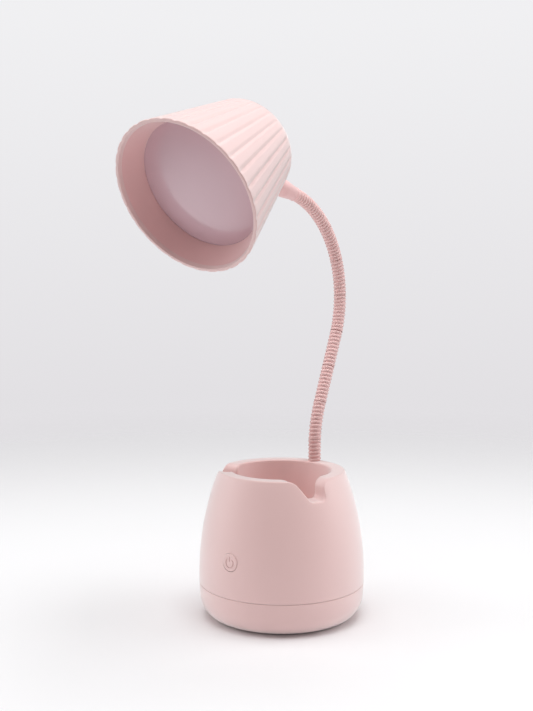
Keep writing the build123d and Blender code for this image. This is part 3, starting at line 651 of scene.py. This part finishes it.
def neck_at(s):
    y, z, lean, left = neck_y, pot_height, 0.0, s
    for length, turn in neck_runs:
        run = min(left, length)
        bend = radians(turn) * run / length
        if abs(bend) < 1e-9:
            y += run * sin(lean)
            z += run * cos(lean)
        else:
            y += run / bend * (cos(lean) - cos(lean + bend))
            z += run / bend * (sin(lean + bend) - sin(lean))
        lean += bend
        left -= run
    return y + left * sin(lean), z + left * cos(lean), lean


def neck_place(s):
    y, z, lean = neck_at(s)
    return upright((0, y, z), Vector((0, sin(lean), cos(lean))))


tip_y, tip_z, tip_lean = neck_at(neck_length)
print("neck ends at", round(tip_y, 1), round(tip_z, 1), "leaning", round(degrees(tip_lean), 1))

# %% [markdown]
# The neck is a steel tube with a raised rib wound round it like a right-hand screw. In the
# model it bends at eight places, so it is drawn as nine lengths. For each, the rib's outline
# over one turn is spun and lifted at the same time, which gives a straight screw. It is cut to
# length, closed at both ends, and then bent to the neck's line. The top of each length is a
# ball about its hinge, and the next one starts with the matching hollow.

# %% Rib and hinges
rib_depths = [
    (0.97, 0.0), (1.0, 0.12), (0.9, 0.3), (0.62, 0.5), (0.32, 0.72), (0.1, 0.96), (0.0, 1.22),
    (0.0, 1.4), (0.1, 1.66), (0.32, 1.9), (0.62, 2.1), (0.97, 2.35),
]
rib_outline = [(crest_radius - (crest_radius - groove_radius) * d, z) for d, z in rib_depths]
turn_steps = 30
nose_ball = 4.6
cup_ball = 4.9
nose_edge = sqrt(nose_ball**2 - crest_radius**2)
end_gap = 0.22
cup_lip = sqrt(cup_ball**2 - crest_radius**2) + end_gap
first_ribs = 6
ribs_per_link = 10
hinge_back = 3.042
first_hinge = rib_pitch * first_ribs - hinge_back
hinges = [first_hinge + rib_pitch * ribs_per_link * k for k in range(8)]
print("hinges at", [round(s, 1) for s in hinges], "mm along the neck")


def screw(start, end):
    first = int(start // rib_pitch) - 2
    turns = int((end - start) / rib_pitch) + 4
    mesh = bmesh.new()
    verts = [mesh.verts.new((r, 0, z + first * rib_pitch)) for r, z in rib_outline]
    edges = [mesh.edges.new(pair) for pair in zip(verts, verts[1:])]
    bmesh.ops.spin(
        mesh, geom=verts + edges, cent=(0, 0, 0), axis=(0, 0, 1), angle=2 * pi * turns,
        dvec=(0, 0, rib_pitch / turn_steps), steps=turn_steps * turns,
    )
    bmesh.ops.remove_doubles(mesh, verts=mesh.verts, dist=1e-3)
    for height, side in ((start, -1), (end, 1)):
        every = mesh.verts[:] + mesh.edges[:] + mesh.faces[:]
        bmesh.ops.bisect_plane(
            mesh, geom=every, plane_co=(0, 0, height), plane_no=(0, 0, side), clear_outer=True
        )
    return mesh


def close_end(mesh, height, rings):
    loop = [e for e in mesh.edges if e.is_boundary and abs(e.verts[0].co.z - height) < 1e-3]
    for radius, z in rings:
        made = bmesh.ops.extrude_edge_only(mesh, edges=loop)["geom"]
        for vert in [g for g in made if isinstance(g, bmesh.types.BMVert)]:
            flat = Vector(vert.co[:2]).normalized() * radius
            vert.co = (flat.x, flat.y, z)
        loop = [g for g in made if isinstance(g, bmesh.types.BMEdge) and g.is_boundary]
    bmesh.ops.edgeloop_fill(mesh, edges=loop)


def ball_rings(hinge, ball, radii):
    return [(r, hinge + sqrt(ball**2 - r**2)) for r in radii]


# %% [markdown]
# The rib's groove is drawn darker than its crest, as painted shade. Each point therefore keeps how
# deep it lies as a value of its own, and the neck's colour darkens with it.

# %% Neck lengths
seat_depth = 1.5
end_band = 0.35
end_edge = ((0.06, 0.28), (0.02, 0.12), (0.1, 0))
ball_radii = (3.05, 2.0, 1.0)


def neck_length_piece(name, low, high, body, node):
    start = low + cup_lip if low is not None else -seat_depth
    end = high + nose_edge if high is not None else neck_length
    mesh = screw(start + end_band, end - end_band)
    low_rings = [(crest_radius - t, start + z) for t, z in end_edge]
    high_rings = [(crest_radius - t, end - z) for t, z in end_edge]
    if low is not None:
        low_rings += ball_rings(low, cup_ball, ball_radii)
    if high is not None:
        high_rings += ball_rings(high, nose_ball, ball_radii)
    close_end(mesh, start + end_band, low_rings)
    close_end(mesh, end - end_band, high_rings)
    depth = mesh.verts.layers.float.new("groove")
    for vert in mesh.verts:
        radius = Vector(vert.co[:2]).length
        vert[depth] = min(max((crest_radius - radius) / (crest_radius - groove_radius), 0.0), 1.0)
        s = vert.co.z
        at = s
        on_ball = radius < ball_radii[0] + 0.05
        middle = (start + end) / 2
        if high is not None and (s > end - 0.2 or (on_ball and s > middle)):
            at = high
        if low is not None and (s < start + 0.2 or (on_ball and s < middle)):
            at = low
        vert.co = neck_place(at) @ Vector((vert.co.x, vert.co.y, s - at))
    bmesh.ops.recalc_face_normals(mesh, faces=mesh.faces)
    return piece(mesh, name, pink_neck, body, [node], sharp=50)


neck_length_piece("neck_foot", None, hinges[0], "base", "neck_stub")
for k in range(1, 8):
    neck_length_piece(
        "neck_length_" + str(k), hinges[k - 1], hinges[k], "neck_" + str(k), "neck_link_" + str(k)
    )
neck_length_piece("neck_end", hinges[7], None, "head", "neck_tip")

# %% Painted shade in the grooves
tree = pink_neck.node_tree
deep = tree.nodes.new("ShaderNodeAttribute")
deep.attribute_name = "groove"
painted_groove_shade = tree.nodes.new("ShaderNodeMix")
painted_groove_shade.data_type = "RGBA"
# Painted shade: the colour the neck is drawn in at the bottom of each groove.
painted_groove_shade.inputs["B"].default_value = (0.70, 0.40, 0.385, 1)
surface = next(n for n in tree.nodes if n.type == "GROUP")
tree.links.new(deep.outputs["Fac"], painted_groove_shade.inputs["Factor"])
tree.links.new(surface.outputs["Color"], painted_groove_shade.inputs["A"])
tree.links.new(painted_groove_shade.outputs["Result"], tree.nodes["Principled BSDF"].inputs["Base Color"])
print("grooves darken to", tuple(round(c, 2) for c in painted_groove_shade.inputs["B"].default_value))

# %% [markdown]
# A slim collar joins the neck to the shade. It starts as thin as the neck, widens quickly and
# then hardly at all, and enters the shade's round shoulder squarely. It is drawn in the darker
# copy of the pink plastic, as painted shade.

# %% Collar
collar_exposed = 29.0
collar_reach = 45.4
collar_in_shade = 2.5
bead_radius = 4.3
collar_start, collar_middle, collar_end = 4.15, 5.35, 5.7
collar_outline = rounded([
    (0, 0, 0),
    (bead_radius, 0, 0.5),
    (bead_radius, 1.6, 0.3),
    (collar_start, 2.0, 0.3),
    (collar_middle, 12.0, 12.0),
    (collar_end, collar_exposed, 0),
    (collar_end, collar_exposed + collar_in_shade, 0),
    (0, collar_exposed + collar_in_shade, 0),
], parts=8)
piece(
    spun(collar_outline, 96), "collar", pink_satin_painted_shade, "head", ["neck_collar"],
    place=neck_place(neck_length),
)

# %% [markdown]
# The shade is a cone with a large round shoulder, tilted up by 30 degrees. Its axis is found
# from the neck's end: the collar's line runs through the centre of the shoulder's round.
# Thirty-two shallow V grooves run from the mouth and fade out on the shoulder, and leave the
# flutes between them. Each groove's bottom is a straight line, so the outer skin's points
# are drawn in to that line where they stand above it. At the lip the grooves are a third as
# deep, so that the mouth's edge is nearly a plain ring.

# %% Shade sizes
shade_tilt = radians(30)
mouth_radius = 45.8
back_radius = 25.8
shade_depth = 73.4
shoulder_round = 17.3
shade_wall = 2.2
flute_count = 32
flute_depth_mouth = 1.0
flute_depth_back = 0.5
lip_run = 3.0
lip_share = 0.35
groove_half = pi / flute_count * mouth_radius * 0.46
cone_slope = (mouth_radius - back_radius) / shade_depth
cone_angle = atan(cone_slope)
shoulder_depth = shade_depth - shoulder_round
shoulder_radius = mouth_radius - cone_slope * shoulder_depth - shoulder_round / cos(cone_angle)
shade_back = Vector((0, cos(shade_tilt), sin(shade_tilt)))
shade_down = Vector((0, sin(shade_tilt), -cos(shade_tilt)))
shoulder_centre = neck_place(neck_length) @ Vector((0, 0, collar_reach))
mouth_centre = shoulder_centre - shade_back * shoulder_depth - shade_down * shoulder_radius
shade_place = upright(mouth_centre, shade_back)
print("mouth centre", [round(c, 1) for c in mouth_centre])


def inner_radius(depth):
    return mouth_radius - shade_wall - depth * cone_slope


def skin_radius(depth):
    if depth < shoulder_depth + shoulder_round * sin(cone_angle):
        return mouth_radius - depth * cone_slope
    return shoulder_radius + sqrt(max(shoulder_round**2 - (depth - shoulder_depth) ** 2, 0))


# %% Shade
def shoulder(offset, angles):
    reach = shoulder_round - offset
    return [
        Vector((shoulder_radius + reach * cos(a), shoulder_depth + reach * sin(a))) for a in angles
    ]


outer_steps = 22
shoulder_angles = [cone_angle + (pi / 2 - cone_angle) * k / 14 for k in range(15)]
shade_outline = [Vector((0, shade_depth))]
shade_outline += shoulder(0, shoulder_angles[::-1])
joint_depth = shoulder_depth + shoulder_round * sin(cone_angle)
shade_outline += [
    Vector((skin_radius(d), d))
    for d in [joint_depth * (1 - k / outer_steps) for k in range(1, outer_steps)]
]
shade_outline += rounded([
    (skin_radius(2.0), 2.0, 0),
    (skin_radius(1.2), 1.2, 0),
    (mouth_radius, 0, 0.55),
    (inner_radius(0), 0, 0.55),
    (inner_radius(3.0), 3.0, 0),
])
wall_across = shade_wall * cos(cone_angle)
shade_outline += shoulder(wall_across, shoulder_angles[::2])
shade_outline.append(Vector((0, shade_depth - wall_across)))
plain_centre = 8
skin_band = 1.0
groove_softness = 0.03
fade_height = 0.5
shade_mesh = spun(shade_outline, flute_count * 16)
pitch_angle = 2 * pi / flute_count
for vert in shade_mesh.verts:
    radius = Vector(vert.co[:2]).length
    depth = max(vert.co.z, 0)
    if radius < plain_centre or radius < skin_radius(depth) - skin_band:
        continue
    angle = atan2(vert.co.y, vert.co.x) / pitch_angle
    aside = abs(angle - int(angle // 1) - 0.5) * pitch_angle * radius
    bottom = mouth_radius - flute_depth_mouth
    bottom -= depth * (bottom - back_radius + flute_depth_back) / shade_depth
    drop = skin_radius(depth) - bottom - aside * flute_depth_mouth / groove_half
    drop = (drop + sqrt(drop**2 + groove_softness)) / 2 - 0.02
    fade = min(max((skin_radius(depth) - bottom) / fade_height, 0.0), 1.0)
    fade *= lip_share + (1 - lip_share) * min(depth / lip_run, 1.0)
    if drop > 0 and fade > 0:
        scale = 1 - drop * fade / radius
        vert.co.x *= scale
        vert.co.y *= scale
piece(
    shade_mesh, "shade", pink_plastic, "head", ["shade_shell"],
    place=shade_place, sharp=60,
)

# %% [markdown]
# The light comes through a frosted dome with a thin flange, set well back in the shade's
# mouth. Its darker pink is painted shade and painted pink light from the shade around it. A
# ring presses the flange onto the tray, and goes on toward the lip as a thin liner against the
# shade's wall. Ring and liner are drawn in the darker copy of the pink plastic. Over the
# shade's own inner wall this is a sheet of painted shade.

# %% Diffuser and ring
ring_depth = 14.0
ring_reach = 2.5
ring_width = 1.75
ring_round = 0.9
dome_edge = 15.6
dome_rise = 5.6
dome_flange = 1.2
dome_thickness = 1.4
ledge_depth = 18.2
flange_reach = inner_radius(ledge_depth) - 0.4
ring_inner = inner_radius(dome_edge) - ring_width
dome_radius = ring_inner - 0.1
dome_ball = (dome_radius**2 + dome_rise**2) / (2 * dome_rise)


def dome_line(radius, ball, top, parts):
    angles = [asin(radius / ball) * k / parts for k in range(parts + 1)]
    return [Vector((ball * sin(a), top + ball * (1 - cos(a)))) for a in angles]


dome_outline = dome_line(dome_radius, dome_ball, dome_edge - dome_rise, 24)
dome_outline += [Vector((flange_reach, dome_edge)), Vector((flange_reach, dome_edge + dome_flange))]
dome_outline += dome_line(dome_radius - dome_thickness, dome_ball, dome_edge - dome_rise + 1.5, 16)[::-1]
# The dome's darker pink colour is painted shade and painted pink light from the shade.
piece(
    spun(dome_outline, 160), "diffuser", frosted, "head", ["diffuser_dome"],
    place=shade_place,
)

ring_outline = rounded([
    (ring_inner, ring_depth + ring_round, 0.35),
    (inner_radius(ring_reach) - 0.02, ring_reach, 0),
    (inner_radius(dome_edge) - 0.05, dome_edge, 0.05),
    (ring_inner, dome_edge, 0.05),
], parts=4)
ring_outline.append(ring_outline[0].copy())
piece(
    spun(ring_outline, 160), "front_ring", pink_satin_painted_shade, "head", ["diffuser_ring"],
    place=shade_place,
)

# %% [markdown]
# The floor is a white sheet that keeps the lamp's soft shadow near it and turns clear further
# out, where the background's own white takes over without an edge.

# %% Floor
floor_radius = 2.2
floor_mesh = bmesh.new()
bmesh.ops.create_circle(floor_mesh, cap_ends=True, segments=64, radius=floor_radius)
floor_data = bpy.data.meshes.new("floor")
floor_mesh.to_mesh(floor_data)
floor_mesh.free()
floor = bpy.data.objects.new("floor", floor_data)
bpy.context.scene.collection.objects.link(floor)
paper = bpy.data.materials.new("white paper")
paper.use_nodes = True
tree = paper.node_tree
tree.nodes["Principled BSDF"].inputs["Base Color"].default_value = (0.845, 0.845, 0.855, 1)
tree.nodes["Principled BSDF"].inputs["Roughness"].default_value = 0.7
where = tree.nodes.new("ShaderNodeTexCoord")
far = tree.nodes.new("ShaderNodeVectorMath")
far.operation = "LENGTH"
fading = tree.nodes.new("ShaderNodeMapRange")
fading.interpolation_type = "SMOOTHSTEP"
fading.inputs["From Min"].default_value = 0.25
fading.inputs["From Max"].default_value = 0.9
fading.inputs["To Min"].default_value = 1
fading.inputs["To Max"].default_value = 0
tree.links.new(where.outputs["Object"], far.inputs[0])
tree.links.new(far.outputs["Value"], fading.inputs["Value"])
tree.links.new(fading.outputs["Result"], tree.nodes["Principled BSDF"].inputs["Alpha"])
floor_data.materials.append(paper)
